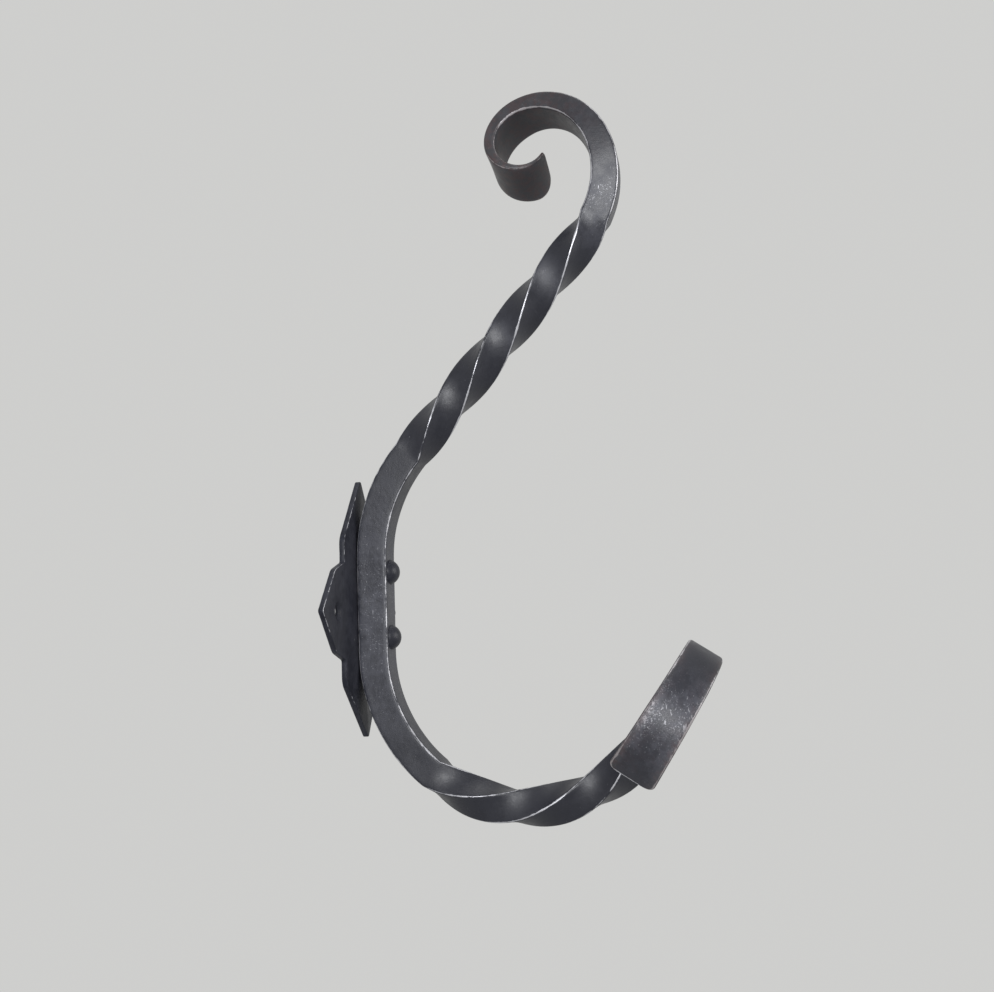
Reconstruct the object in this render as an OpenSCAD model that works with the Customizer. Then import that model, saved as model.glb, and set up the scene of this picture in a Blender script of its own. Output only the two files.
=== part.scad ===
// Forged coat hook: one square bar, twisted along both arms and drawn out into a scroll
// at each end, riveted to a pointed wall plate.
// Millimetres, +Z up. The origin is the centre of the plate's back face, which lies on
// the wall in the plane Y = 0. The hook reaches out towards -Y.

/* [Bar] */
// Side of the square bar
bar_side = 10; // [8:0.5:12]
// Rounding along the bar's four edges
edge_r = 0.9; // [0.3:0.1:1.5]
// Height of the point midway between the rivets, above the plate's centre
bar_rise = 2; // [0:0.5:4]
// Width of the flattened end of the upper arm
upper_tip_width = 17.5; // [12:0.5:19]
// Width of the flattened end of the lower arm
lower_tip_width = 15; // [11:0.5:19]
// Thickness of both flattened ends
tip_thickness = 1; // [0.8:0.1:2]
// Rounding of the upper end's left corner, seen from the front
upper_left_corner_r = 1.5; // [1:0.1:4]
// Rounding of the upper end's right corner
upper_right_corner_r = 6.5; // [1:0.5:8]
// Rounding of the lower end's corners
lower_corner_r = 2.2; // [1:0.1:4]

/* [Upper arm] */
// Straight length between the upper rivet's head and the bend
upper_straight = 0.2; // [0.2:0.1:5]
// Radius of the bend that leans the arm outwards
upper_bend_r = 51; // [40:1:70]
// Lean of the arm from the vertical, in degrees
upper_bend_angle = 41.5; // [30:0.5:50]
// Length from the bend to the start of the scroll
upper_arm_len = 88.5; // [70:0.5:120]
// Length of the twisted stretch, from the bend on
upper_twist_len = 96.5; // [80:0.5:110]
// Turn of the twist, in degrees
upper_twist = 353; // [180:1:540]

/* [Upper scroll] */
// Length from the start of the scroll, over its top
upper_rise_len = 57.5; // [45:0.5:65]
// Length from there down to the tight curl
upper_fall_len = 27; // [22:1:36]
// Length of the tight curl
upper_curl_len = 23.5; // [15:0.5:26]
// Radius at the start of the scroll
upper_start_r = 36.5; // [28:0.5:45]
// Radius at the end of its rise
upper_top_r = 21; // [20:0.5:28]
// Radius where the tight curl begins
upper_curl_r = 11; // [9:0.5:14]
// Radius at the tip
upper_tip_r = 7.5; // [5:0.5:10]
// Tightest radius of the sideways bend that carries the curl out of the arm's plane
upper_side_bend_r = 69; // [50:1:120]
// Length over which that sideways bend runs
upper_side_bend_len = 77.5; // [60:0.5:100]
// Turn of the flattened tip about its own line, in degrees
upper_tip_turn = 44; // [0:1:50]
// Length of the tip that is turned so
upper_tip_turn_len = 42.5; // [30:0.5:60]

/* [Lower arm] */
// Straight length between the lower rivet's head and the U
lower_straight = 0.3; // [0.2:0.1:5]
// Radius of the first, untwisted part of the U
lower_bend_r = 51; // [45:1:70]
// Angle of that part, in degrees
lower_bend_angle = 50; // [40:1:60]
// Radius of the twisted part of the U
lower_twist_r = 47; // [38:0.5:60]
// Angle of the twisted part, in degrees
lower_twist_angle = 96.5; // [85:0.5:110]
// Turn of the twist, in degrees
lower_twist = 263; // [250:1:290]

/* [Lower curl] */
// Length from the start of the curl to its front
lower_rise_len = 35; // [25:1:50]
// Length from the front to the tip
lower_curl_len = 62; // [45:1:75]
// Radius at the start of the curl
lower_start_r = 50; // [40:1:70]
// Radius at the front of the curl
lower_front_r = 22; // [19:0.5:30]
// Radius at the tip
lower_tip_r = 24; // [20:0.5:40]

/* [Wall plate] */
// Thickness of the plate
plate_t = 1.8; // [1.2:0.1:3]
// Height of the upper point above the centre
upper_point = 43; // [36:0.5:55]
// Depth of the lower point below the centre
lower_point = 41; // [36:0.5:55]
// How far the upper point is hand cut to the side
upper_point_shift = 1.5; // [0:0.5:7]
// How far the lower point is hand cut to the side
lower_point_shift = 4.5; // [0:0.5:7]
// Half width of the two upright leaves
leaf_half = 16.5; // [14:0.1:22]
// Distance from the centre at which a leaf begins to narrow
leaf_shoulder = 23; // [18:0.5:28]
// Reach of each side lobe from the centre
lobe_reach = 38; // [35:0.5:50]
// Half height of a side lobe where it meets the leaves
lobe_root = 15.5; // [12:0.5:17]
// Half height of a side lobe at its shoulders
lobe_half = 13; // [11:0.5:16]
// Distance from the centre at which a lobe begins to narrow
lobe_shoulder = 25.5; // [23:0.5:32]
// Rounding of the shoulders
shoulder_r = 5; // [2:0.5:6]
// Rounding of the points and of the inner corners
point_r = 1; // [0.4:0.1:2]

/* [Screw holes] */
// Distance between the two screw holes
screw_spacing = 47; // [44:1:56]
// Diameter of a screw hole
screw_hole_d = 4.5; // [3.5:0.1:5.5]
// Diameter of its countersink at the front
screw_sink_d = 6.6; // [6:0.1:7.2]

/* [Rivets] */
// Distance between the two rivets
rivet_spacing = 21; // [16:0.5:24]
// Diameter of a rivet's shank
rivet_d = 5; // [4:0.1:6]
// Diameter of its domed head
head_d = 8; // [7:0.1:10]
// Height of its domed head
head_h = 3; // [2:0.1:3.5]
// Diameter of the tail where it fills the plate's back
tail_d = 6.6; // [6.2:0.1:7.5]
// Depth of the tail's taper into the plate
tail_depth = 1; // [0.5:0.1:1.1]
// Clearance round the shank and tail
rivet_clearance = 0.1; // [0.05:0.05:0.2]

/* [Hidden] */

BAR_IRON = "#46464d";
PLATE_IRON = "#33333a";
RIVET_IRON = "#3d3d44";

EDGE_STEPS = 2;         // facets round each of the bar's edges
BEND_STEP = 4;          // degrees of bend between rings of the bar
TWIST_STEP = 7;         // degrees of twist between rings
SCROLL_STEP = 1.6;      // length between rings in a scroll
TIP_STEP = 22.5;        // degrees between rings in a tip's rounded corners
OUTLINE_STEP = 15;      // degrees between points in the plate's rounded corners
WIDTH_POWER = 1.3;      // how late the ends widen
THIN_POWER = 1.4;       // how late the ends thin
BORE_FN = 64;
CUT = 1;                // how far a cutting tool runs past the faces it cuts

LEAN = 0;               // a form's bend in the plane of the arm
CURL = 1;               // its bend towards the section's thickness
SWAY = 2;               // its bend towards the section's width
TURN = 3;               // the section's turn
WIDTH = 4;
THICKNESS = 5;

rad = PI / 180;
bar_line_y = -(plate_t + bar_side / 2);
rivet_length = plate_t + bar_side;
head_reach = (rivet_spacing + head_d) / 2;

upper_bend_from = head_reach + upper_straight;
upper_bend_to = upper_bend_from + upper_bend_r * upper_bend_angle * rad;
upper_scroll_from = upper_bend_to + upper_arm_len;
upper_curl_at = upper_rise_len + upper_fall_len;
upper_scroll_len = upper_curl_at + upper_curl_len;
upper_end = upper_scroll_from + upper_scroll_len;

lower_bend_from = head_reach + lower_straight;
lower_twist_from = lower_bend_from + lower_bend_r * lower_bend_angle * rad;
lower_scroll_from = lower_twist_from + lower_twist_r * lower_twist_angle * rad;
lower_scroll_len = lower_rise_len + lower_curl_len;
lower_end = lower_scroll_from + lower_scroll_len;

function clamp(x) = min(1, max(0, x));
function smooth(x) = let (c = clamp(x)) c * c * (3 - 2 * c);
function between(s, from, to) = s > from && s < to;
function unit(v) = v / norm(v);
function rotated(v, axis, angle) =
    v * cos(angle) + cross(axis, v) * sin(angle) + axis * (axis * v) * (1 - cos(angle));

// ---- The bar: a centre line that carries a square section ----
// Each arm is measured from the point midway between the rivets. Bends are 1 / radius.

function drawn_width(u, tip_width) = bar_side + (tip_width - bar_side) * pow(u, WIDTH_POWER);
function drawn_thickness(u) = bar_side - (bar_side - tip_thickness) * pow(u, THIN_POWER);

// Width that a rounded corner takes away at this distance from the end
function corner_loss(d, r) = d >= r ? 0 : r - sqrt(pow(r, 2) - pow(r - d, 2));

function upper_form(s) = let (
    along = s - upper_scroll_from,
    u = clamp(along / upper_scroll_len),
    curl = lookup(along, [
        [0, 1 / upper_start_r], [upper_rise_len, 1 / upper_top_r],
        [upper_curl_at, 1 / upper_curl_r], [upper_scroll_len, 1 / upper_tip_r]
    ]),
    tip_turn = upper_tip_turn * smooth((s - upper_end + upper_tip_turn_len) / upper_tip_turn_len)
) [
    between(s, upper_bend_from, upper_bend_to) ? 1 / upper_bend_r : 0,
    along > 0 ? -curl : 0,
    along > 0 ? sin(180 * along / upper_side_bend_len) / upper_side_bend_r : 0,
    -upper_twist * clamp((s - upper_bend_to) / upper_twist_len) - tip_turn,
    drawn_width(u, upper_tip_width),
    drawn_thickness(u)
];

function lower_form(s) = let (
    along = s - lower_scroll_from,
    u = clamp(along / lower_scroll_len),
    curl = lookup(along, [
        [0, 1 / lower_start_r], [lower_rise_len, 1 / lower_front_r], [lower_scroll_len, 1 / lower_tip_r]
    ]),
    twist_len = lower_scroll_from - lower_twist_from
) [
    between(s, lower_bend_from, lower_twist_from) ? 1 / lower_bend_r
        : between(s, lower_twist_from, lower_scroll_from) ? 1 / lower_twist_r : 0,
    along > 0 ? curl : 0,
    0,
    -lower_twist * clamp((s - lower_twist_from) / twist_len),
    drawn_width(u, lower_tip_width),
    drawn_thickness(u)
];

function form(upper, s) = upper ? upper_form(s) : lower_form(s);

// Even steps from one length to another, without the last
function steps(from, to, count) = [for (i = [0:count - 1]) from + (to - from) * i / count];

function scroll_stations(from, to, corner_r) = concat(
    steps(from, to - corner_r, ceil((to - from) / SCROLL_STEP)),
    [for (a = [0:TIP_STEP:90]) to - corner_r * (1 - sin(a))]
);

upper_stations = concat(
    [0],
    steps(upper_bend_from, upper_bend_to, ceil(upper_bend_angle / BEND_STEP)),
    steps(upper_bend_to, upper_scroll_from, ceil(upper_twist / TWIST_STEP)),
    scroll_stations(upper_scroll_from, upper_end, max(upper_left_corner_r, upper_right_corner_r))
);
lower_stations = concat(
    [0],
    steps(lower_bend_from, lower_twist_from, ceil(lower_bend_angle / BEND_STEP)),
    steps(lower_twist_from, lower_scroll_from, ceil(lower_twist / TWIST_STEP)),
    scroll_stations(lower_scroll_from, lower_end, lower_corner_r)
);

// A pose is [place, along, outward, across]. One step follows the arc of that length.
function next_pose(pose, upper, s, length) = let (
    f = form(upper, s + length / 2),
    flat = pose[2] * cos(f[TURN]) + pose[3] * sin(f[TURN]),
    edge = pose[3] * cos(f[TURN]) - pose[2] * sin(f[TURN]),
    bend = pose[2] * f[LEAN] + flat * f[CURL] + edge * f[SWAY],
    curvature = norm(bend),
    straight = curvature * length < 1e-9,
    axis = straight ? pose[3] : cross(pose[1], bend) / curvature,
    angle = straight ? 0 : curvature * length / rad,
    chord = straight ? length : 2 * sin(angle / 2) / curvature
) [
    pose[0] + rotated(pose[1], axis, angle / 2) * chord,
    rotated(pose[1], axis, angle),
    rotated(pose[2], axis, angle),
    rotated(pose[3], axis, angle)
];

function start_pose(upper) = let (way = upper ? 1 : -1)
    [[0, bar_line_y, bar_rise], [0, 0, way], [0, -1, 0], [way, 0, 0]];

// The section's points, in the same order round the bar on both arms
function ring(pose, upper, s) = let (
    f = form(upper, s),
    way = upper ? 1 : -1,
    flat = pose[2] * cos(f[TURN]) + pose[3] * sin(f[TURN]),
    edge = (pose[3] * cos(f[TURN]) - pose[2] * sin(f[TURN])) * way,
    r = min(edge_r, f[THICKNESS] * 0.45),
    to_end = (upper ? upper_end : lower_end) - s,
    left_loss = corner_loss(to_end, upper ? upper_left_corner_r : lower_corner_r),
    right_loss = corner_loss(to_end, upper ? upper_right_corner_r : lower_corner_r)
) [
    for (corner = [0:3], i = [0:EDGE_STEPS]) let (
        a = 90 * (corner + i / EDGE_STEPS),
        flat_way = corner == 0 || corner == 3 ? 1 : -1,
        edge_way = corner < 2 ? 1 : -1
    ) pose[0]
        + flat * (flat_way * (f[THICKNESS] / 2 - r) + r * cos(a))
        + edge * (edge_way * (f[WIDTH] / 2 - (edge_way > 0 ? right_loss : left_loss) - r) + r * sin(a))
];

function arm(upper) = let (
    stations = upper ? upper_stations : lower_stations,
    last = len(stations) - 1
) [
    for (
        i = 0, pose = start_pose(upper);
        i <= last;
        pose = i < last ? next_pose(pose, upper, stations[i], stations[i + 1] - stations[i]) : pose, i = i + 1
    ) ring(pose, upper, stations[i])
];

module bar_body() {
    upper = arm(true);
    lower = arm(false);
    rings = concat([for (i = [len(lower) - 1:-1:1]) lower[i]], upper);
    n = len(rings[0]);
    top = (len(rings) - 1) * n;
    sides = [
        for (i = [0:len(rings) - 2], j = [0:n - 1]) let (
            a = i * n + j,
            b = i * n + (j + 1) % n
        ) each [[a, a + n, b + n], [a, b + n, b]]
    ];
    caps = [[for (j = [0:n - 1]) j], [for (j = [n - 1:-1:0]) top + j]];
    polyhedron([for (r = rings, p = r) p], concat(sides, caps), convexity = 10);
}

// ---- Places along the axis of a rivet or a screw, which runs out from the wall ----

module out_from_wall(x, z) {
    translate([x, 0, z]) rotate([90, 0, 0]) children();
}

module at_rivets() {
    for (way = [-1, 1]) out_from_wall(0, bar_rise + way * rivet_spacing / 2) children();
}

module at_screws() {
    for (way = [-1, 1]) out_from_wall(way * screw_spacing / 2, 0) children();
}

// ---- The plate's outline: its corners as [x, z, rounding] ----

function rounded_corner(before, corner, after) = let (
    p = [corner[0], corner[1]],
    a = unit([before[0], before[1]] - p),
    b = unit([after[0], after[1]] - p),
    half = acos(a * b) / 2,
    centre = p + unit(a + b) * corner[2] / sin(half),
    first = p + a * corner[2] / tan(half) - centre,
    sweep = (180 - 2 * half) * (cross(a, b) > 0 ? -1 : 1),
    count = ceil(abs(sweep) / OUTLINE_STEP)
) [
    for (i = [0:count]) let (t = sweep * i / count)
        centre + [first[0] * cos(t) - first[1] * sin(t), first[0] * sin(t) + first[1] * cos(t)]
];

// The corners to the right of one leaf's point, from the point to the lobe's own
function quarter(way) = [
    [leaf_half, way * leaf_shoulder, shoulder_r],
    [leaf_half, way * lobe_root, point_r],
    [lobe_shoulder, way * lobe_half, shoulder_r]
];

function mirrored(corners) = [for (i = [len(corners) - 1:-1:0]) [-corners[i][0], corners[i][1], corners[i][2]]];

upper_side = quarter(1);
lower_side = [for (i = [2:-1:0]) quarter(-1)[i]];
plate_corners = concat(
    [[upper_point_shift, upper_point, point_r]],
    upper_side, [[lobe_reach, 0, point_r]], lower_side,
    [[lower_point_shift, -lower_point, point_r]],
    mirrored(lower_side), [[-lobe_reach, 0, point_r]], mirrored(upper_side)
);
plate_outline = let (n = len(plate_corners)) [
    for (i = [0:n - 1])
        each rounded_corner(plate_corners[(i + n - 1) % n], plate_corners[i], plate_corners[(i + 1) % n])
];

// ---- Pieces ----

// The forged bar, drilled for both rivets
module hook_bar() {
    color(BAR_IRON) difference() {
        bar_body();
        at_rivets() cylinder(h = rivet_length + CUT, d = rivet_d + 2 * rivet_clearance, $fn = BORE_FN);
    }
}

// The sheet plate, with countersunk screw holes, and rivet holes opened out at the back
module back_plate() {
    sink_depth = (screw_sink_d - screw_hole_d) / 2;
    tail_slope = (tail_d - rivet_d) / 2 / tail_depth;
    rivet_hole_r = rivet_d / 2 + rivet_clearance;
    color(PLATE_IRON) difference() {
        rotate([90, 0, 0]) linear_extrude(plate_t) polygon(plate_outline);
        at_screws() {
            translate([0, 0, -CUT]) cylinder(h = plate_t + 2 * CUT, d = screw_hole_d, $fn = BORE_FN);
            translate([0, 0, plate_t - sink_depth])
                cylinder(h = sink_depth + CUT, d1 = screw_hole_d, d2 = screw_sink_d + 2 * CUT, $fn = BORE_FN);
        }
        at_rivets() {
            translate([0, 0, -CUT]) cylinder(h = plate_t + 2 * CUT, r = rivet_hole_r, $fn = BORE_FN);
            translate([0, 0, -CUT]) cylinder(
                h = tail_depth + CUT,
                r1 = rivet_hole_r + tail_slope * (tail_depth + CUT),
                r2 = rivet_hole_r,
                $fn = BORE_FN
            );
        }
    }
}

// A rivet: a tail spread flush with the plate's back, a shank, and a domed head on the bar
module rivet() {
    dome_r = (pow(head_d / 2, 2) + pow(head_h, 2)) / (2 * head_h);
    color(RIVET_IRON) union() {
        cylinder(h = tail_depth, d1 = tail_d, d2 = rivet_d, $fn = BORE_FN);
        cylinder(h = rivet_length, d = rivet_d, $fn = BORE_FN);
        translate([0, 0, rivet_length]) intersection() {
            translate([0, 0, head_h - dome_r]) sphere(r = dome_r, $fn = BORE_FN);
            cylinder(h = head_h + CUT, d = head_d + 2 * CUT, $fn = BORE_FN);
        }
    }
}

module upper_rivet() {
    out_from_wall(0, bar_rise + rivet_spacing / 2) rivet();
}

module lower_rivet() {
    out_from_wall(0, bar_rise - rivet_spacing / 2) rivet();
}

hook_bar();
back_plate();
upper_rivet();
lower_rivet();
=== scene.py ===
import math

import bmesh
import bpy
from bpy.props import FloatProperty, FloatVectorProperty, IntProperty, PointerProperty
from mathutils import Matrix, Quaternion, Vector, noise


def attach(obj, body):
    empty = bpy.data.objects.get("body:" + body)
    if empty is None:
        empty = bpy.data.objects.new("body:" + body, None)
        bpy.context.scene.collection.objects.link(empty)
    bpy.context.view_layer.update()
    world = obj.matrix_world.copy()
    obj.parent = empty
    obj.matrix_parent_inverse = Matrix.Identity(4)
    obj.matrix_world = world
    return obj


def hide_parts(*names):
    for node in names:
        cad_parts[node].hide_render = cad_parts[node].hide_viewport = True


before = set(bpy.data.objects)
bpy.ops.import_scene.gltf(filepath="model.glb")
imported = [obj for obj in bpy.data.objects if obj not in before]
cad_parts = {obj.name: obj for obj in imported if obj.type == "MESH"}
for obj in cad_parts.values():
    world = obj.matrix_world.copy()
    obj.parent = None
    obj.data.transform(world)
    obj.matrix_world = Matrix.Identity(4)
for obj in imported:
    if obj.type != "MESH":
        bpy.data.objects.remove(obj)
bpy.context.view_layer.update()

bl_info = {
    "name": "Forged coat hook",
    "version": (1, 0, 0),
    "blender": (4, 5, 0),
    "location": "3D View > Sidebar > Coat hook",
    "description": "A square bar, twisted and scrolled, riveted to a pointed wall plate",
    "category": "Add Mesh",
}

# How finely the pieces are made
ARC_POINTS = 6          # facets round each of the bar's edges
SIDE_POINTS = (0.1, 0.37, 0.63, 0.9)    # points across each side, as shares of its flat
RING_STEP = 0.001       # length between rings of the bar
TWIST_STEP = math.radians(4)            # turn between rings where the bar twists
TIP_STEPS = 14          # rings over a tip's rounded corners
TIP_FILING = 0.5        # depth of a tip's filed edge along the bar, as a share of its width
DOME_STEPS = 10         # rings over a rivet's head
BEVEL_STEPS = 3         # facets across the plate's worn edge
FLAT = math.radians(1)  # turn under which two faces of the plate are one
CREASE = math.radians(30)               # turn over which the plate has an edge
SHARP = math.radians(35)                # turn over which an edge is shown sharp
ROUNDEST = 0.45         # widest rounding of an edge, as a share of the bar's thickness there
LEAST_BEND = 1e-6       # curvature under which the bar runs straight
SAME_PLACE = 1e-6       # distance under which two vertices are one

# How fast the section is drawn out along a scroll: powers of the way to its tip
WIDTH_POWER = 1.3
THICKNESS_POWER = 1.4

# Wear and painted highlights along each arm. A pale stretch is its middle, reach and strength,
# in metres: those under "arm" from midway between the rivets, those under "scroll" from where
# the scroll starts. Most pale stretches are worn iron, paler and specked; those noted below are
# partly or wholly painted highlights. Brown bloom begins on the scroll at "brown_from" and has
# its full strength one BROWN_FADE further on.
LEAST_RUB = 0.08
BROWN_FADE = 0.03
UPPER_WEAR_AND_HIGHLIGHTS = {
    # The two stretches at 0.101 and 0.124 lie on twist crests: their paler, specked iron is partly
    # wear and partly a painted highlight.
    "arm": ((0.0, 0.055, 0.62), (0.101, 0.008, 0.3), (0.124, 0.008, 0.3)),
    "scroll": ((0.014, 0.020, 0.75),),
    "brown_from": 0.03,
    "brown": 0.55,
}
LOWER_WEAR_AND_HIGHLIGHT = {
    "arm": ((0.0, 0.065, 0.62),),
    # The stretch at 0.074 is mostly a painted highlight: its pale patch stands for a reflection of
    # the light on the curl's face, with a few real nicks in it.
    "scroll": ((0.074, 0.018, 0.84), (0.088, 0.014, 0.2)),
    "brown_from": 0.05,
    "brown": 0.10,
}
RIM_RUB = 0.4           # further rubbing along the rims of a flattened end
RIM_BROWN = 0.8         # brown bloom along them
RIM_REACH = 0.5         # how far in from a rim both reach, as a share of half the width
RIM_GROWTH = 1.3        # how fast both come in as the bar gets thinner
HEAD_RIM = 0.25         # worn rim of a rivet's head, as a share of the head's height
HEAD_WEAR = 0.5         # how worn that rim is

# Scales of the patterns in the finishes, per metre
HAMMER_MARKS = 110.0
FORGE_GRAIN = 900.0
EDGE_BREAKS = 320.0
SPECKS = 2100.0
RUST_BLOTCHES = 420.0

# How the finishes are mixed, as shares of full strength
BARE_COVERS = 0.92      # bare metal over the iron
BARE_METALLIC = 0.6
BLOOM_COVERS = 0.6      # brown bloom over the iron
BLOOM_DULLS = 0.8       # brown bloom over bare metal
RUB_SPECKS = 0.7        # specks that rubbing adds
UNEVEN_ROUGHNESS = 0.16                 # spread of the roughness over a face
BUMP_STRENGTH = 0.5
BUMP_HEIGHT = 0.0006    # height of the hammer marks, in metres

# The stage, in metres and watts
FLOOR_RADIUS = 1.3
FLOOR_CENTRE = (0, -0.05, -0.55)
FLOOR_FACETS = 96
FLOOR_FADE = (0.20, 0.75)               # where the floor begins and ends to fade into the backdrop
LAMP_AIM = Vector((0, -0.05, 0.05))
LAMPS = (               # name, place, side, power and tint
    ("Window", (-1.47, -0.18, 0.31), 0.65, 18.0, (0.97, 0.98, 1.0)),
    ("Front", (-0.1, -1.5, 0.3), 0.9, 10.0, (1.0, 0.99, 0.97)),
    ("Ceiling", (0.1, -0.1, 1.4), 0.9, 6.0, (1.0, 1.0, 1.0)),
)
AMBIENT = (0.28, 0.285, 0.29)           # light from all round


# ---- Sizes and colours ----

def length(name, description, mm):
    return FloatProperty(
        name=name, description=description, default=mm / 1000, min=0.0,
        precision=4, unit="LENGTH", subtype="DISTANCE",
    )


def angle(name, description, degrees):
    return FloatProperty(
        name=name, description=description, default=math.radians(degrees),
        unit="ROTATION", subtype="ANGLE",
    )


def share(name, description, default):
    return FloatProperty(
        name=name, description=description, default=default, min=0.0, max=1.0, subtype="FACTOR",
    )


def colour(name, description, default):
    return FloatVectorProperty(
        name=name, description=description, default=default, min=0.0, max=1.0,
        size=3, subtype="COLOR",
    )


class HOOK_PG_bar(bpy.types.PropertyGroup):
    """What both arms of the bar share"""
    side: length("Side", "Side of the square bar", 10)
    edge_r: length("Edge rounding", "Rounding along the bar's four edges", 0.9)
    rise: length("Rise", "Height of the rivets' middle above the plate's centre", 2)
    tip_thickness: length("Tip thickness", "Thickness of both flattened ends", 1)
    tip_soft: length("Tip softness", "Further rounding along the flattened ends", 0.6)
    tip_chamfer: length("Tip chamfer", "Filed edge round the flattened ends' faces", 0.2)
    hammering: length("Hammering", "How uneven the hammer left the faces", 0.12)
    hammer_size: length("Hammer marks", "Distance between hammer marks", 9)


class HOOK_PG_upper_arm(bpy.types.PropertyGroup):
    """The arm that leans outwards to the upper scroll"""
    straight: length("Straight", "Straight length from midway between the rivets to the bend", 14.7)
    bend_r: length("Bend", "Radius of the bend that leans the arm outwards", 51)
    bend_angle: angle("Lean", "Lean of the arm from the vertical", 41.5)
    arm_len: length("Arm", "Length from the bend to the start of the scroll", 88.5)
    twist_len: length("Twisted length", "Length of the twisted stretch, from the bend on", 96.5)
    twist: angle("Twist", "Turn of the twist", 353)
    rise_len: length("Scroll rise", "Length from the start of the scroll, over its top", 57.5)
    fall_len: length("Scroll fall", "Length from there down to the tight curl", 27)
    curl_len: length("Scroll curl", "Length of the tight curl", 23.5)
    start_r: length("Start radius", "Radius at the start of the scroll", 36.5)
    top_r: length("Top radius", "Radius at the end of the scroll's rise", 21)
    curl_r: length("Curl radius", "Radius where the tight curl begins", 11)
    tip_r: length("Tip radius", "Radius at the tip", 7.5)
    side_bend_r: length("Side bend", "Tightest radius of the curl's sideways bend", 69)
    side_bend_len: length("Side bend length", "Length over which that bend runs", 77.5)
    tip_turn: angle("Tip turn", "Turn of the flattened tip about its own line", 44)
    tip_turn_len: length("Tip turn length", "Length of the tip that is turned so", 42.5)
    tip_width: length("Tip width", "Width of the flattened end", 17.5)
    left_corner_r: length("Left corner", "Rounding of the end's left corner", 1.5)
    right_corner_r: length("Right corner", "Rounding of the end's right corner", 6.5)


class HOOK_PG_lower_arm(bpy.types.PropertyGroup):
    """The arm that makes the U and the lower curl"""
    straight: length("Straight", "Straight length from midway between the rivets to the U", 14.8)
    bend_r: length("Bend", "Radius of the first, untwisted part of the U", 51)
    bend_angle: angle("Bend angle", "Angle of that part", 50)
    twist_r: length("Twisted bend", "Radius of the twisted part of the U", 47)
    twist_angle: angle("Twisted angle", "Angle of the twisted part", 96.5)
    twist: angle("Twist", "Turn of the twist", 263)
    rise_len: length("Curl rise", "Length from the start of the curl to its front", 35)
    curl_len: length("Curl", "Length from the front to the tip", 62)
    start_r: length("Start radius", "Radius at the start of the curl", 50)
    front_r: length("Front radius", "Radius at the front of the curl", 22)
    tip_r: length("Tip radius", "Radius at the tip", 24)
    tip_width: length("Tip width", "Width of the flattened end", 15)
    left_corner_r: length("Left corner", "Rounding of the end's left corner", 2.2)
    right_corner_r: length("Right corner", "Rounding of the end's right corner", 2.2)


class HOOK_PG_plate(bpy.types.PropertyGroup):
    """The wall plate: its outline is the CAD plate's"""
    thickness: length("Thickness", "Thickness of the plate", 1.8)
    edge: length("Worn edge", "Width of the rounded edge round the plate", 0.4)
    screw_spacing: length("Screw spacing", "Distance between the two screw holes", 47)
    screw_clear: length("Screw seats", "Radius round a screw hole that keeps its crisp edges", 4.5)


class HOOK_PG_rivets(bpy.types.PropertyGroup):
    """The two rivets that hold the bar to the plate"""
    spacing: length("Spacing", "Distance between the two rivets", 21)
    shank_d: length("Shank", "Diameter of a rivet's shank", 5)
    head_d: length("Head", "Diameter of its domed head", 8)
    head_h: length("Head height", "Height of its domed head", 3)
    tail_d: length("Tail", "Diameter of the tail where it fills the plate's back", 6.6)
    tail_depth: length("Tail depth", "Depth of the tail's taper into the plate", 1)
    spin_steps: IntProperty(
        name="Steps", description="Facets round a rivet", default=48, min=12, max=128,
    )


class HOOK_PG_finish(bpy.types.PropertyGroup):
    """Colours and shine"""
    iron: colour("Blackened iron", "The bar's blackened faces", (0.0085, 0.0093, 0.0155))
    # Paler iron where worn; on the lower curl and two twist crests the same colour is a painted
    # highlight.
    iron_pale: colour("Rubbed iron", "The same faces where they are rubbed", (0.068, 0.070, 0.088))
    scale_grey: colour("Fire scale", "Warmer grey of the scrolls", (0.058, 0.053, 0.052))
    rust: colour("Rust", "Brown bloom on the curls", (0.085, 0.050, 0.044))
    sheet: colour("Blackened sheet", "The plate's faces", (0.0070, 0.0076, 0.0125))
    bare: colour("Bare metal", "Worn edges and specks", (0.50, 0.50, 0.53))
    bare_brown: colour("Browned metal", "Worn edges of browned iron", (0.20, 0.155, 0.145))
    roughness: share("Roughness", "Roughness of the blackened faces", 0.40)
    sheen: share("Sheen", "How much the bar shines", 0.44)
    rivet_sheen: share("Rivet sheen", "How much the rivets shine", 0.352)
    sheet_sheen: share("Sheet sheen", "How much the plate shines", 0.15)
    backdrop: colour("Backdrop", "Wall and floor round the hook", (0.62, 0.62, 0.61))


class HOOK_PG_camera(bpy.types.PropertyGroup):
    """Where the picture is taken from"""
    target: FloatVectorProperty(
        name="Target", description="Point that the camera looks at",
        default=(0.0, -0.04794, 0.03558), size=3, unit="LENGTH", subtype="TRANSLATION",
    )
    distance: length("Distance", "Distance from the target", 547.8)
    azimuth: angle("Azimuth", "Turn round the hook from straight in front", -76.56)
    elevation: angle("Elevation", "Height above the target", -4.71)
    roll: angle("Roll", "Turn of the picture", -1.60)
    lens: FloatProperty(
        name="Lens", description="Focal length", default=61.97, min=1.0, unit="CAMERA",
    )


# ---- The bar's form: bends, turn and section at each length from midway between the rivets ----

def smooth(x):
    """Rises from 0 to 1 with level ends."""
    x = min(1.0, max(0.0, x))
    return x * x * (3 - 2 * x)


def near(x, middle, reach):
    """1 at the middle, falling smoothly to 0 at the reach."""
    return smooth(1 - abs(x - middle) / reach)


def along_table(x, table):
    """The value at x between the rows of (place, value)."""
    for (x0, y0), (x1, y1) in zip(table, table[1:]):
        if x <= x1:
            return y0 + (y1 - y0) * max(0.0, x - x0) / (x1 - x0)
    return table[-1][1]


def drawn(start, end, u, power):
    """A size that is drawn out from start to end as u goes from 0 to 1."""
    return start + (end - start) * min(1.0, max(0.0, u)) ** power


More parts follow.
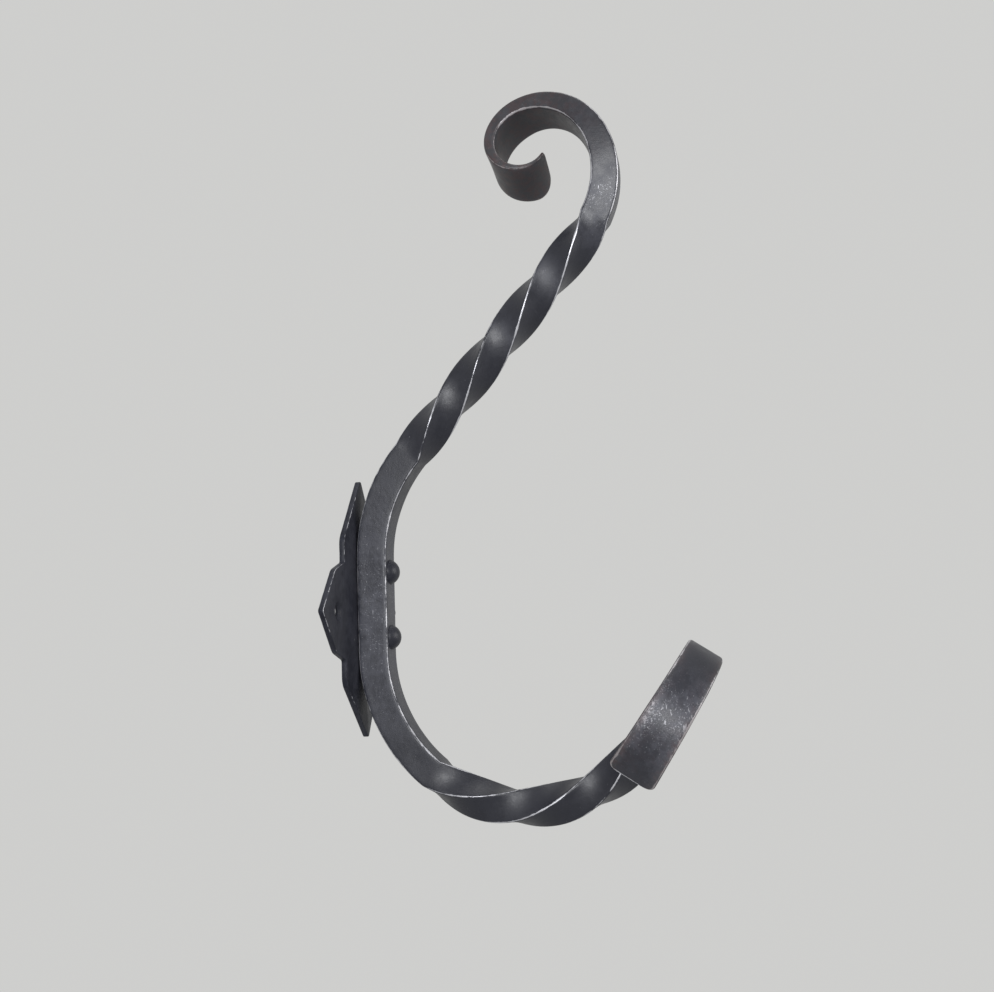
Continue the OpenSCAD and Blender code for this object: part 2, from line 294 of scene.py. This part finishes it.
def corner_loss(to_end, r):
    """Width that a rounded corner takes away, this far from the end."""
    return 0.0 if to_end >= r else r - math.sqrt(max(0.0, r * r - (r - to_end) ** 2))


class Arm:
    """One arm of the bar, measured from midway between the rivets."""

    def __init__(self, bar, sizes, upper):
        self.bar, self.sizes, self.upper = bar, sizes, upper
        self.way = 1 if upper else -1
        self.bend_to = sizes.straight + sizes.bend_r * sizes.bend_angle
        if upper:
            self.scroll_from = self.bend_to + sizes.arm_len
            self.scroll_len = sizes.rise_len + sizes.fall_len + sizes.curl_len
            self.twist_len = sizes.twist_len
        else:
            self.scroll_from = self.bend_to + sizes.twist_r * sizes.twist_angle
            self.scroll_len = sizes.rise_len + sizes.curl_len
            self.twist_len = self.scroll_from - self.bend_to
        self.end = self.scroll_from + self.scroll_len

    def form(self, s):
        """Lean, curl and sway of the line, and the section's turn, width and thickness."""
        sizes = self.sizes
        on_scroll = s - self.scroll_from
        lean = curl = sway = 0.0
        if sizes.straight < s < self.bend_to:
            lean = 1 / sizes.bend_r
        turn = -sizes.twist * min(1.0, max(0.0, (s - self.bend_to) / self.twist_len))
        if self.upper:
            turned_from = self.end - sizes.tip_turn_len
            turn -= sizes.tip_turn * smooth((s - turned_from) / sizes.tip_turn_len)
            if on_scroll > 0:
                curl = -along_table(on_scroll, [
                    (0, 1 / sizes.start_r),
                    (sizes.rise_len, 1 / sizes.top_r),
                    (sizes.rise_len + sizes.fall_len, 1 / sizes.curl_r),
                    (self.scroll_len, 1 / sizes.tip_r),
                ])
                sway = math.sin(math.pi * on_scroll / sizes.side_bend_len) / sizes.side_bend_r
        else:
            if self.bend_to < s < self.scroll_from:
                lean = 1 / sizes.twist_r
            if on_scroll > 0:
                curl = along_table(on_scroll, [
                    (0, 1 / sizes.start_r),
                    (sizes.rise_len, 1 / sizes.front_r),
                    (self.scroll_len, 1 / sizes.tip_r),
                ])
        u = on_scroll / self.scroll_len
        width = drawn(self.bar.side, sizes.tip_width, u, WIDTH_POWER)
        thickness = drawn(self.bar.side, self.bar.tip_thickness, u, THICKNESS_POWER)
        return lean, curl, sway, turn, width, thickness

    def stations(self):
        """Lengths at which the bar gets a ring: close together, and closer where it twists."""
        sizes = self.sizes
        twist_step = self.twist_len * TWIST_STEP / sizes.twist
        corner_r = max(sizes.left_corner_r, sizes.right_corner_r)
        tip = self.end - corner_r
        marks = [0.0, sizes.straight, self.bend_to, self.bend_to + self.twist_len, tip]
        steps = [sizes.straight, RING_STEP, min(RING_STEP, twist_step), RING_STEP]
        found = []
        for low, high, step in zip(marks, marks[1:], steps):
            count = max(1, math.ceil((high - low) / step))
            found += [low + (high - low) * i / count for i in range(count)]
        quarter = [math.pi / 2 * i / TIP_STEPS for i in range(TIP_STEPS + 1)]
        return found + [tip + corner_r * math.sin(way_round) for way_round in quarter]


def step_on(pose, arm, s, ds):
    """The pose (place, along, outward, across) one short arc further on."""
    place, along, outward, across = pose
    lean, curl, sway, turn, _, _ = arm.form(s + ds / 2)
    flat = outward * math.cos(turn) + across * math.sin(turn)
    edge = across * math.cos(turn) - outward * math.sin(turn)
    bend = outward * lean + flat * curl + edge * sway
    if bend.length < LEAST_BEND:
        return place + along * ds, along, outward, across
    axis = along.cross(bend).normalized()
    turned = bend.length * ds
    chord = 2 * math.sin(turned / 2) / bend.length
    half, whole = Matrix.Rotation(turned / 2, 3, axis), Matrix.Rotation(turned, 3, axis)
    place = place + half @ along * chord
    return place, whole @ along, whole @ outward, whole @ across


def section(right, left, thickness, thick_r, wide_r):
    """Points round the bar as (flat, edge, wear): wear is 1 along an edge and 0 on a side."""
    corners = []
    for k, (way, reach) in enumerate(((1, right), (-1, right), (-1, -left), (1, -left))):
        for i in range(ARC_POINTS + 1):
            t = math.pi / 2 * (k + i / ARC_POINTS)
            corners.append((
                way * (thickness / 2 - thick_r) + thick_r * math.cos(t),
                reach - math.copysign(wide_r, reach) + wide_r * math.sin(t),
                1 - abs(2 * i / ARC_POINTS - 1),
            ))
    points = []
    for i, (flat, edge, wear) in enumerate(corners):
        points.append((flat, edge, wear))
        if i % (ARC_POINTS + 1) == ARC_POINTS:
            flat1, edge1, _ = corners[(i + 1) % len(corners)]
            points += [
                (flat + (flat1 - flat) * f, edge + (edge1 - edge) * f, 0.0) for f in SIDE_POINTS
            ]
    return points


def marks_at(arm, s):
    """How pale and how browned the bar is at this length: the paleness is wear, and on a few
    stretches a painted highlight.
    """
    wear = UPPER_WEAR_AND_HIGHLIGHTS if arm.upper else LOWER_WEAR_AND_HIGHLIGHT
    on_scroll = s - arm.scroll_from
    rub = LEAST_RUB
    for at, stretches in ((s, wear["arm"]), (on_scroll, wear["scroll"])):
        rub += sum(strength * near(at, middle, reach) for middle, reach, strength in stretches)
    return rub, wear["brown"] * smooth((on_scroll - wear["brown_from"]) / BROWN_FADE)


# ---- Materials ----

def add_node(tree, kind, at, **settings):
    """Adds a node with these properties set."""
    made = tree.nodes.new(kind)
    made.location = at
    for key, value in settings.items():
        setattr(made, key, value)
    return made


def feed(tree, node, **sockets):
    """Sets or links inputs by name, with _ for a space, or as i0, i1 and so on by number."""
    for key, value in sockets.items():
        numbered = key[1:].isdigit()
        socket = node.inputs[int(key[1:]) if numbered else key.replace("_", " ")]
        if isinstance(value, bpy.types.NodeSocket):
            tree.links.new(value, socket)
        else:
            socket.default_value = value
    return node


def sums(tree, at, operation, a, b=0.0, clamp=False):
    """The result of a math node on a and b."""
    made = add_node(tree, "ShaderNodeMath", at, operation=operation, use_clamp=clamp)
    return feed(tree, made, i0=a, i1=b).outputs[0]


def ranged(tree, at, value, low, high, to_low=0.0, to_high=1.0):
    """The value, with the range from low to high taken smoothly to the other range."""
    made = add_node(tree, "ShaderNodeMapRange", at, interpolation_type="SMOOTHSTEP")
    feed(tree, made, Value=value, From_Min=low, From_Max=high, To_Min=to_low, To_Max=to_high)
    return made.outputs["Result"]


def mixed(tree, at, factor, a, b):
    """Colour a, turning to colour b with the factor."""
    made = add_node(tree, "ShaderNodeMix", at, data_type="RGBA")
    # The node has sockets of the same name for each type: these are the colour's
    return feed(tree, made, i0=factor, i6=a, i7=b).outputs[2]


def noise_at(tree, at, where, scale, detail, roughness):
    """Noise, between 0 and 1, at a place on the piece."""
    made = add_node(tree, "ShaderNodeTexNoise", at)
    return feed(
        tree, made, Vector=where, Scale=scale, Detail=detail, Roughness=roughness,
    ).outputs[0]


def object_place(tree, at):
    """The place on the piece, in metres."""
    return add_node(tree, "ShaderNodeTexCoord", at).outputs["Object"]


def new_group(name, ins, outs):
    """An empty shader node group with these value inputs and outputs."""
    tree = bpy.data.node_groups.new(name, "ShaderNodeTree")
    kind = "NodeSocketFloat"
    for socket, default in ins:
        made = tree.interface.new_socket(socket, in_out="INPUT", socket_type=kind)
        made.default_value = default
    for socket in outs:
        tree.interface.new_socket(socket, in_out="OUTPUT", socket_type=kind)
    start = add_node(tree, "NodeGroupInput", (-900, 0))
    end = add_node(tree, "NodeGroupOutput", (900, 0))
    return tree, start.outputs, end.inputs, object_place(tree, (-900, -300))


def worn_edges_group():
    """Bare metal along the edges, broken where the blacking held."""
    tree, ins, outs, where = new_group(
        "Worn edges", [("Edge", 0.0), ("Wear", 0.5), ("Breaks", EDGE_BREAKS)], ["Bare"],
    )
    fine = noise_at(tree, (-600, -200), where, ins["Breaks"], 4.0, 0.65)
    coarse_size = sums(tree, (-700, -500), "MULTIPLY", ins["Breaks"], 0.22)
    coarse = noise_at(tree, (-600, -400), where, coarse_size, 2.0, 0.5)
    uneven = sums(tree, (-400, -300), "ADD", fine, coarse)
    centred = sums(tree, (-200, -300), "SUBTRACT", uneven, 1.0)
    pushed = sums(tree, (0, -300), "MULTIPLY", centred, 1.5)
    edge = sums(tree, (0, 0), "ADD", ins["Edge"], pushed)
    reach = sums(tree, (0, 200), "SUBTRACT", 1.25, ins["Wear"])
    level = sums(tree, (200, 0), "SUBTRACT", edge, reach)
    bare = ranged(tree, (400, 0), level, -0.06, 0.22)
    some = ranged(tree, (400, -300), ins["Edge"], 0.02, 0.4)
    tree.links.new(sums(tree, (650, 0), "MULTIPLY", bare, some), outs["Bare"])
    return tree


def specks_group():
    """Small bare specks, in patches where the iron is rubbed, and a few nicks."""
    tree, ins, outs, where = new_group(
        "Bare specks", [("Rub", 0.5), ("Fineness", SPECKS)], ["Bare"],
    )
    fine = noise_at(tree, (-600, 0), where, ins["Fineness"], 2.0, 0.7)
    patch_size = sums(tree, (-700, -400), "MULTIPLY", ins["Fineness"], 0.09)
    patch = noise_at(tree, (-600, -300), where, patch_size, 2.0, 0.5)
    reach = sums(tree, (-300, -300), "MULTIPLY", patch, ins["Rub"])
    raised = sums(tree, (-100, -300), "MULTIPLY", reach, 0.42)
    both = sums(tree, (-100, 0), "ADD", fine, raised)
    specks = sums(tree, (300, 0), "MULTIPLY", ranged(tree, (100, 0), both, 0.74, 0.90), 0.5)
    drawn_out = add_node(tree, "ShaderNodeVectorMath", (-750, -600), operation="MULTIPLY")
    feed(tree, drawn_out, i0=where, i1=(1.0, 1.0, 0.28))
    nick_size = sums(tree, (-750, -800), "MULTIPLY", ins["Fineness"], 0.45)
    nick = noise_at(tree, (-550, -600), drawn_out.outputs[0], nick_size, 3.0, 0.6)
    rub_squared = sums(tree, (-500, -900), "MULTIPLY", ins["Rub"], ins["Rub"])
    raised = sums(tree, (-300, -900), "MULTIPLY", rub_squared, 0.20)
    both = sums(tree, (-300, -600), "ADD", nick, raised)
    nicks = sums(tree, (300, -600), "MULTIPLY", ranged(tree, (100, -600), both, 0.74, 0.82), 0.5)
    tree.links.new(sums(tree, (600, 0), "MAXIMUM", specks, nicks), outs["Bare"])
    return tree


def hammered_group():
    """Hammer marks and forge grain: a height for bumps, and a tone for the faces."""
    tree, ins, outs, where = new_group(
        "Hammered iron", [("Marks", HAMMER_MARKS), ("Grain", FORGE_GRAIN)], ["Height", "Tone"],
    )
    cells = add_node(tree, "ShaderNodeTexVoronoi", (-600, 100), feature="SMOOTH_F1")
    feed(tree, cells, Vector=where, Scale=ins["Marks"], Smoothness=0.6)
    hollows = sums(tree, (-300, 100), "MULTIPLY", cells.outputs["Distance"], 0.5)
    grain = noise_at(tree, (-600, -200), where, ins["Grain"], 4.0, 0.6)
    fine = sums(tree, (-300, -200), "MULTIPLY", grain, 0.16)
    tree.links.new(sums(tree, (-100, 0), "ADD", hollows, fine), outs["Height"])
    cloud_size = sums(tree, (-750, -500), "MULTIPLY", ins["Marks"], 0.8)
    cloud = noise_at(tree, (-600, -500), where, cloud_size, 3.0, 0.5)
    mottle_size = sums(tree, (-750, -700), "MULTIPLY", ins["Marks"], 4.0)
    mottle = noise_at(tree, (-600, -700), where, mottle_size, 4.0, 0.65)
    tone = sums(tree, (-300, -600), "ADD", cloud, mottle)
    tree.links.new(ranged(tree, (300, -300), tone, 0.78, 1.22, 0.3, 1.0), outs["Tone"])
    return tree


def grouped(tree, at, group, **inputs):
    """Places a node group with these inputs, and gives its outputs."""
    made = add_node(tree, "ShaderNodeGroup", at, node_tree=group)
    return feed(tree, made, **inputs).outputs


def attribute(tree, at, name):
    """A mark on the piece's own vertices: its edge wear, its paleness (wear, with a few painted
    highlights) and its brown bloom.
    """
    made = add_node(
        tree, "ShaderNodeAttribute", at, attribute_type="GEOMETRY", attribute_name=name,
    )
    return made.outputs["Fac"]


def opaque(rgb):
    return (*rgb, 1.0)


def iron_material(
    name, groups, finish, *, dark, sheen, wear, specked, rub=0.0, scrolls=False,
):
    """Blackened iron with worn edges. Scrolls adds the fire's warmer tones and the bar's marks."""
    material = bpy.data.materials.new(name)
    material.use_nodes = True
    tree = material.node_tree
    shader = tree.nodes["Principled BSDF"]
    surface = grouped(
        tree, (-1400, 0), groups["hammered"], Marks=HAMMER_MARKS, Grain=FORGE_GRAIN,
    )
    edge = attribute(tree, (-1700, 300), "edge")
    edges = grouped(
        tree, (-1400, 300), groups["edges"], Edge=edge, Wear=wear, Breaks=EDGE_BREAKS,
    )["Bare"]
    paled = attribute(tree, (-1700, 500), "rub") if scrolls else rub
    part_rubbed = sums(tree, (-1700, 700), "MULTIPLY", paled, RUB_SPECKS)
    speckled = sums(tree, (-1550, 600), "ADD", part_rubbed, specked)
    specks = grouped(
        tree, (-1400, 500), groups["specks"], Rub=speckled, Fineness=SPECKS,
    )["Bare"]
    # Paler toward iron_pale where the pale mark is high: wear, and on the lower curl and two twist
    # crests a painted highlight.
    tone = sums(tree, (-1150, 100), "MULTIPLY", surface["Tone"], paled)
    iron = mixed(tree, (-900, 100), tone, opaque(dark), opaque(finish.iron_pale))
    worn = opaque(finish.bare)
    if scrolls:
        brown = attribute(tree, (-1700, -300), "brown")
        where = object_place(tree, (-1700, -500))
        blotch = noise_at(tree, (-1400, -400), where, RUST_BLOTCHES, 4.0, 0.6)
        patches = ranged(tree, (-1150, -400), blotch, 0.42, 0.60)
        warm = mixed(tree, (-900, -300), patches, opaque(finish.scale_grey), opaque(finish.rust))
        bloom = sums(tree, (-900, -100), "MULTIPLY", brown, BLOOM_COVERS)
        iron = mixed(tree, (-700, 0), bloom, iron, warm)
        dulled = sums(tree, (-900, 600), "MULTIPLY", brown, BLOOM_DULLS)
        worn = mixed(tree, (-700, 600), dulled, worn, opaque(finish.bare_brown))
    bare = sums(tree, (-900, 400), "MAXIMUM", edges, specks)
    covered = sums(tree, (-700, 400), "MULTIPLY", bare, BARE_COVERS)
    uneven = sums(tree, (-600, -200), "MULTIPLY", surface["Tone"], UNEVEN_ROUGHNESS)
    smoothest = finish.roughness - UNEVEN_ROUGHNESS / 2
    bump = add_node(tree, "ShaderNodeBump", (-400, -450))
    feed(tree, bump, Strength=BUMP_STRENGTH, Distance=BUMP_HEIGHT, Height=surface["Height"])
    feed(
        tree, shader,
        Base_Color=mixed(tree, (-400, 200), covered, iron, worn),
        Metallic=sums(tree, (-400, 0), "MULTIPLY", bare, BARE_METALLIC),
        Roughness=sums(tree, (-400, -200), "ADD", smoothest, uneven, clamp=True),
        Specular_IOR_Level=sheen,
        Normal=bump.outputs[0],
    )
    return material


# ---- Pieces ----

def finish_piece(bm, name, node, material):
    """Turns a bmesh into a piece that stands for a CAD node."""
    mesh = bpy.data.meshes.new(name)
    bm.to_mesh(mesh)
    bm.free()
    mesh.polygons.foreach_set("use_smooth", [True] * len(mesh.polygons))
    mesh.set_sharp_from_angle(angle=SHARP)
    mesh.materials.append(bpy.data.materials[material])
    piece = bpy.data.objects.new(name, mesh)
    bpy.context.scene.collection.objects.link(piece)
    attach(piece, "root")
    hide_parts(node)


class HOOK_OT_materials(bpy.types.Operator):
    """Mix the blackened iron finishes"""
    bl_idname = "coat_hook.materials"
    bl_label = "Finishes"

    def execute(self, context):
        finish = context.scene.hook_finish
        groups = {
            "edges": worn_edges_group(),
            "specks": specks_group(),
            "hammered": hammered_group(),
        }
        iron_material(
            "Blackened bar", groups, finish, dark=finish.iron, sheen=finish.sheen,
            wear=0.55, specked=0.15, scrolls=True,
        )
        iron_material(
            "Blackened sheet", groups, finish, dark=finish.sheet, sheen=finish.sheet_sheen,
            wear=0.2, rub=0.35, specked=-0.2,
        )
        iron_material(
            "Blackened rivets", groups, finish, dark=finish.iron, sheen=finish.rivet_sheen,
            wear=0.4, rub=0.12, specked=0.0,
        )
        return {"FINISHED"}


class HOOK_OT_bar(bpy.types.Operator):
    """Forge the bar: draw out both ends, twist both arms and curl the scrolls"""
    bl_idname = "coat_hook.bar"
    bl_label = "Bar"

    def execute(self, context):
        scene = context.scene
        bar = scene.hook_bar
        bm = bmesh.new()
        layers = {name: bm.verts.layers.float.new(name) for name in ("edge", "rub", "brown")}
        line_y = -(scene.hook_plate.thickness + bar.side / 2)
        count = 4 * (ARC_POINTS + 1 + len(SIDE_POINTS))
        first = bmesh.ops.create_circle(
            bm, cap_ends=False, segments=count, radius=bar.side / 2,
        )["verts"]
        for upper, sizes in ((True, scene.hook_upper), (False, scene.hook_lower)):
            arm = Arm(bar, sizes, upper)
            pose = (
                Vector((0, line_y, bar.rise)),
                Vector((0, 0, arm.way)), Vector((0, -1, 0)), Vector((arm.way, 0, 0)),
            )
            ring = list(first)
            self.shape(ring, layers, pose, arm, 0.0)
            stations = arm.stations()
            for s, further in zip(stations, stations[1:]):
                pose = step_on(pose, arm, s, further - s)
                ring = self.draw_on(bm, ring)
                self.shape(ring, layers, pose, arm, further)
            ring = self.draw_on(bm, ring)
            pose = (pose[0] + pose[1] * bar.tip_chamfer * TIP_FILING, *pose[1:])
            self.shape(ring, layers, pose, arm, arm.end, inset=bar.tip_chamfer)
            bmesh.ops.edgeloop_fill(bm, edges=self.edges_of(ring))
        bmesh.ops.recalc_face_normals(bm, faces=bm.faces)
        bm.normal_update()
        for v in bm.verts:
            hollow = 0.5 + 0.5 * noise.noise(v.co / bar.hammer_size)
            v.co -= v.normal * bar.hammering * hollow
        finish_piece(bm, "forged_bar", "hook_bar", "Blackened bar")
        return {"FINISHED"}

    @staticmethod
    def edges_of(ring):
        """The ring's own edges, in the ring's order, so that every run gives the same mesh."""
        members = set(ring)
        own = (e for v in ring for e in v.link_edges if e.other_vert(v) in members)
        return list(dict.fromkeys(own))

    def draw_on(self, bm, ring):
        """Draws the bar's end on by one ring, and gives the new ring in the old one's order."""
        made = bmesh.ops.extrude_edge_only(bm, edges=self.edges_of(ring))
        new = {g for g in made["geom"] if isinstance(g, bmesh.types.BMVert)}
        return [
            next(e.other_vert(v) for e in v.link_edges if e.other_vert(v) in new) for v in ring
        ]

    @staticmethod
    def shape(ring, layers, pose, arm, s, inset=0.0):
        """Gives a ring the section, and the wear and painted highlights, that the arm has at this
        length.
        """
        place, _, outward, across = pose
        _, _, _, turn, width, thickness = arm.form(s)
        flat = outward * math.cos(turn) + across * math.sin(turn)
        edge = (across * math.cos(turn) - outward * math.sin(turn)) * arm.way
        rub, brown = marks_at(arm, s)
        bar, to_end = arm.bar, arm.end - s
        drawn_thin = 1 - thickness / bar.side
        points = section(
            right=width / 2 - corner_loss(to_end, arm.sizes.right_corner_r) - inset,
            left=width / 2 - corner_loss(to_end, arm.sizes.left_corner_r) - inset,
            thickness=thickness - 2 * inset,
            thick_r=min(bar.edge_r, thickness * ROUNDEST) - inset / 2,
            wide_r=bar.edge_r + bar.tip_soft * drawn_thin,
        )
        at_end = 1.0 if inset else smooth(1 - to_end / bar.edge_r)
        flattened = smooth(RIM_GROWTH * drawn_thin)
        for v, (out_flat, out_edge, wear) in zip(ring, points):
            v.co = place + flat * out_flat + edge * out_edge
            from_rim = 1 - 2 * abs(out_edge) / width
            rim = flattened * near(from_rim, 0, RIM_REACH)
            v[layers["edge"]] = max(wear, at_end)
            v[layers["rub"]] = rub + RIM_RUB * rim
            v[layers["brown"]] = max(brown, RIM_BROWN * rim)


class HOOK_OT_plate(bpy.types.Operator):
    """Finish the wall plate: file the edges of its outline and holes"""
    bl_idname = "coat_hook.plate"
    bl_label = "Wall plate"

    def execute(self, context):
        plate = context.scene.hook_plate
        bm = bmesh.new()
        bm.from_mesh(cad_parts["back_plate"].data)
        edge = bm.verts.layers.float.new("edge")
        bmesh.ops.remove_doubles(bm, verts=bm.verts, dist=SAME_PLACE)
        bmesh.ops.dissolve_limit(bm, angle_limit=FLAT, verts=bm.verts, edges=bm.edges)
        worn = [e for e in bm.edges if self.wears(e, plate)]
        if not worn:
            raise RuntimeError("the wall plate has no outline to file")
        made = bmesh.ops.bevel(
            bm, geom=worn, offset=plate.edge, offset_type="OFFSET", segments=BEVEL_STEPS,
            profile=0.5, affect="EDGES", material=-1, clamp_overlap=True,
        )
        rounded = set(made["faces"])
        for v in made["verts"]:
            v[edge] = 1.0 if all(face in rounded for face in v.link_faces) else 0.0
        bmesh.ops.triangulate(bm, faces=[f for f in bm.faces if len(f.verts) > 4])
        bmesh.ops.recalc_face_normals(bm, faces=bm.faces)
        finish_piece(bm, "wall_plate", "back_plate", "Blackened sheet")
        return {"FINISHED"}

    @staticmethod
    def wears(e, plate):
        """A sharp edge of either face, away from the screw seats."""
        if len(e.link_faces) != 2 or e.calc_face_angle() <= CREASE:
            return False
        first, second = (v.co for v in e.verts)
        if abs(first.y - second.y) > plate.thickness / 3:
            return False
        middle = (first + second) / 2
        seats = [Vector((way * plate.screw_spacing / 2, 0, 0)) for way in (-1, 1)]
        return all((middle - seat).xz.length >= plate.screw_clear for seat in seats)


class HOOK_OT_rivets(bpy.types.Operator):
    """Set the two domed rivets"""
    bl_idname = "coat_hook.rivets"
    bl_label = "Rivets"

    def execute(self, context):
        scene = context.scene
        rivet, plate, bar = scene.hook_rivets, scene.hook_plate, scene.hook_bar
        grip = plate.thickness + bar.side
        head_r, shank_r = rivet.head_d / 2, rivet.shank_d / 2
        dome_r = (head_r ** 2 + rivet.head_h ** 2) / (2 * rivet.head_h)
        rim_turn = math.asin(head_r / dome_r)
        turns = [rim_turn * (1 - i / DOME_STEPS) for i in range(DOME_STEPS + 1)]
        dome_centre = grip + rivet.head_h - dome_r
        profile = [
            (0, 0), (rivet.tail_d / 2, 0), (shank_r, rivet.tail_depth), (shank_r, grip),
            *((dome_r * math.sin(t), dome_centre + dome_r * math.cos(t)) for t in turns),
        ]
        for node, way in (("upper_rivet", 1), ("lower_rivet", -1)):
            bm = bmesh.new()
            edge = bm.verts.layers.float.new("edge")
            line = [bm.verts.new((x, -out, 0)) for x, out in profile]
            for v, (_, out) in zip(line, profile):
                v[edge] = HEAD_WEAR if abs(out - grip) < HEAD_RIM * rivet.head_h else 0.0
            edges = [bm.edges.new(pair) for pair in zip(line, line[1:])]
            bmesh.ops.spin(
                bm, geom=line + edges, cent=(0, 0, 0), axis=(0, 1, 0), dvec=(0, 0, 0),
                angle=2 * math.pi, steps=rivet.spin_steps, use_merge=True,
            )
            bmesh.ops.remove_doubles(bm, verts=bm.verts, dist=SAME_PLACE)
            bmesh.ops.recalc_face_normals(bm, faces=bm.faces)
            height = bar.rise + way * rivet.spacing / 2
            bmesh.ops.translate(bm, verts=bm.verts, vec=(0, 0, height))
            finish_piece(bm, node + "_domed", node, "Blackened rivets")
        return {"FINISHED"}


class HOOK_OT_stage(bpy.types.Operator):
    """Lay the floor, hang the lamps and place the camera"""
    bl_idname = "coat_hook.stage"
    bl_label = "Stage"

    def execute(self, context):
        scene = context.scene
        scene.view_settings.view_transform = "Standard"
        self.backdrop(scene)
        self.floor(scene)
        for name, place, size, power, tint in LAMPS:
            lamp = bpy.data.lights.new(name, "AREA")
            lamp.shape, lamp.size, lamp.energy, lamp.color = "SQUARE", size, power, tint
            holder = bpy.data.objects.new(name, lamp)
            holder.location = place
            towards = LAMP_AIM - Vector(place)
            holder.rotation_euler = towards.to_track_quat("-Z", "Y").to_euler()
            scene.collection.objects.link(holder)
        self.camera(scene)
        return {"FINISHED"}

    @staticmethod
    def seen_directly(tree):
        """1 where the camera, a reflection or clear glass looks."""
        path = add_node(tree, "ShaderNodeLightPath", (-900, 300)).outputs
        either = sums(tree, (-700, 300), "MAXIMUM", path["Is Camera Ray"], path["Is Glossy Ray"])
        return sums(tree, (-500, 300), "MAXIMUM", either, path["Is Transmission Ray"])

    def backdrop(self, scene):
        world = bpy.data.worlds.new("Studio")
        world.use_nodes = True
        scene.world = world
        tree = world.node_tree
        ground = tree.nodes["Background"]
        pale = opaque(scene.hook_finish.backdrop)
        shade = mixed(tree, (-300, 0), self.seen_directly(tree), opaque(AMBIENT), pale)
        feed(tree, ground, Color=shade, Strength=1.0)

    def floor(self, scene):
        bm = bmesh.new()
        bmesh.ops.create_circle(bm, cap_ends=True, segments=FLOOR_FACETS, radius=FLOOR_RADIUS)
        bmesh.ops.translate(bm, verts=bm.verts, vec=FLOOR_CENTRE)
        mesh = bpy.data.meshes.new("floor")
        bm.to_mesh(mesh)
        bm.free()
        material = bpy.data.materials.new("Pale floor")
        material.use_nodes = True
        tree = material.node_tree
        shader, out = tree.nodes["Principled BSDF"], tree.nodes["Material Output"]
        pale = opaque(scene.hook_finish.backdrop)
        feed(tree, shader, Base_Color=pale, Roughness=0.9, Specular_IOR_Level=0.1)
        glow = add_node(tree, "ShaderNodeEmission", (0, 300))
        feed(tree, glow, Color=pale, Strength=1.0)
        level = add_node(tree, "ShaderNodeVectorMath", (-900, 0), operation="MULTIPLY")
        feed(tree, level, i0=object_place(tree, (-1100, 0)), i1=(1, 1, 0))
        away = add_node(tree, "ShaderNodeVectorMath", (-700, 0), operation="LENGTH")
        feed(tree, away, i0=level.outputs[0])
        rim = ranged(tree, (-500, 0), away.outputs["Value"], *FLOOR_FADE)
        fade = sums(tree, (-200, 200), "MULTIPLY", rim, self.seen_directly(tree))
        blend = add_node(tree, "ShaderNodeMixShader", (300, 200))
        feed(tree, blend, i0=fade, i1=shader.outputs[0], i2=glow.outputs[0])
        tree.links.new(blend.outputs[0], out.inputs["Surface"])
        mesh.materials.append(material)
        floor = bpy.data.objects.new("floor", mesh)
        scene.collection.objects.link(floor)

    def camera(self, scene):
        view = scene.hook_camera
        back = Vector((
            math.sin(view.azimuth) * math.cos(view.elevation),
            -math.cos(view.azimuth) * math.cos(view.elevation),
            math.sin(view.elevation),
        ))
        data = bpy.data.cameras.new("Camera")
        data.lens, data.sensor_width, data.clip_start = view.lens, 36.0, 0.01
        camera = bpy.data.objects.new("Camera", data)
        camera.location = Vector(view.target) + back * view.distance
        camera.rotation_mode = "QUATERNION"
        aim = (-back).to_track_quat("-Z", "Y")
        camera.rotation_quaternion = aim @ Quaternion((0, 0, 1), view.roll)
        scene.collection.objects.link(camera)
        scene.camera = camera


OPERATORS = (HOOK_OT_materials, HOOK_OT_bar, HOOK_OT_plate, HOOK_OT_rivets, HOOK_OT_stage)
GROUPS = {
    "hook_bar": HOOK_PG_bar,
    "hook_upper": HOOK_PG_upper_arm,
    "hook_lower": HOOK_PG_lower_arm,
    "hook_plate": HOOK_PG_plate,
    "hook_rivets": HOOK_PG_rivets,
    "hook_finish": HOOK_PG_finish,
    "hook_camera": HOOK_PG_camera,
}


class HOOK_PT_panel(bpy.types.Panel):
    """Lists the sizes and colours, and the operators that make the hook from them"""
    bl_idname = "HOOK_PT_panel"
    bl_label = "Coat hook"
    bl_space_type = "VIEW_3D"
    bl_region_type = "UI"
    bl_category = "Coat hook"

    def draw(self, context):
        for name, group in GROUPS.items():
            box = self.layout.box()
            box.label(text=name.replace("_", " ").capitalize())
            for key in group.__annotations__:
                box.prop(getattr(context.scene, name), key)
        for operator in OPERATORS:
            self.layout.operator(operator.bl_idname)


def register():
    for cls in (*GROUPS.values(), *OPERATORS, HOOK_PT_panel):
        bpy.utils.register_class(cls)
    for name, group in GROUPS.items():
        setattr(bpy.types.Scene, name, PointerProperty(type=group))


def unregister():
    for name in GROUPS:
        delattr(bpy.types.Scene, name)
    for cls in (HOOK_PT_panel, *OPERATORS, *reversed(GROUPS.values())):
        bpy.utils.unregister_class(cls)


def main():
    register()
    bpy.ops.coat_hook.materials()
    bpy.ops.coat_hook.bar()
    bpy.ops.coat_hook.plate()
    bpy.ops.coat_hook.rivets()
    bpy.ops.coat_hook.stage()


if __name__ == "__main__":
    main()
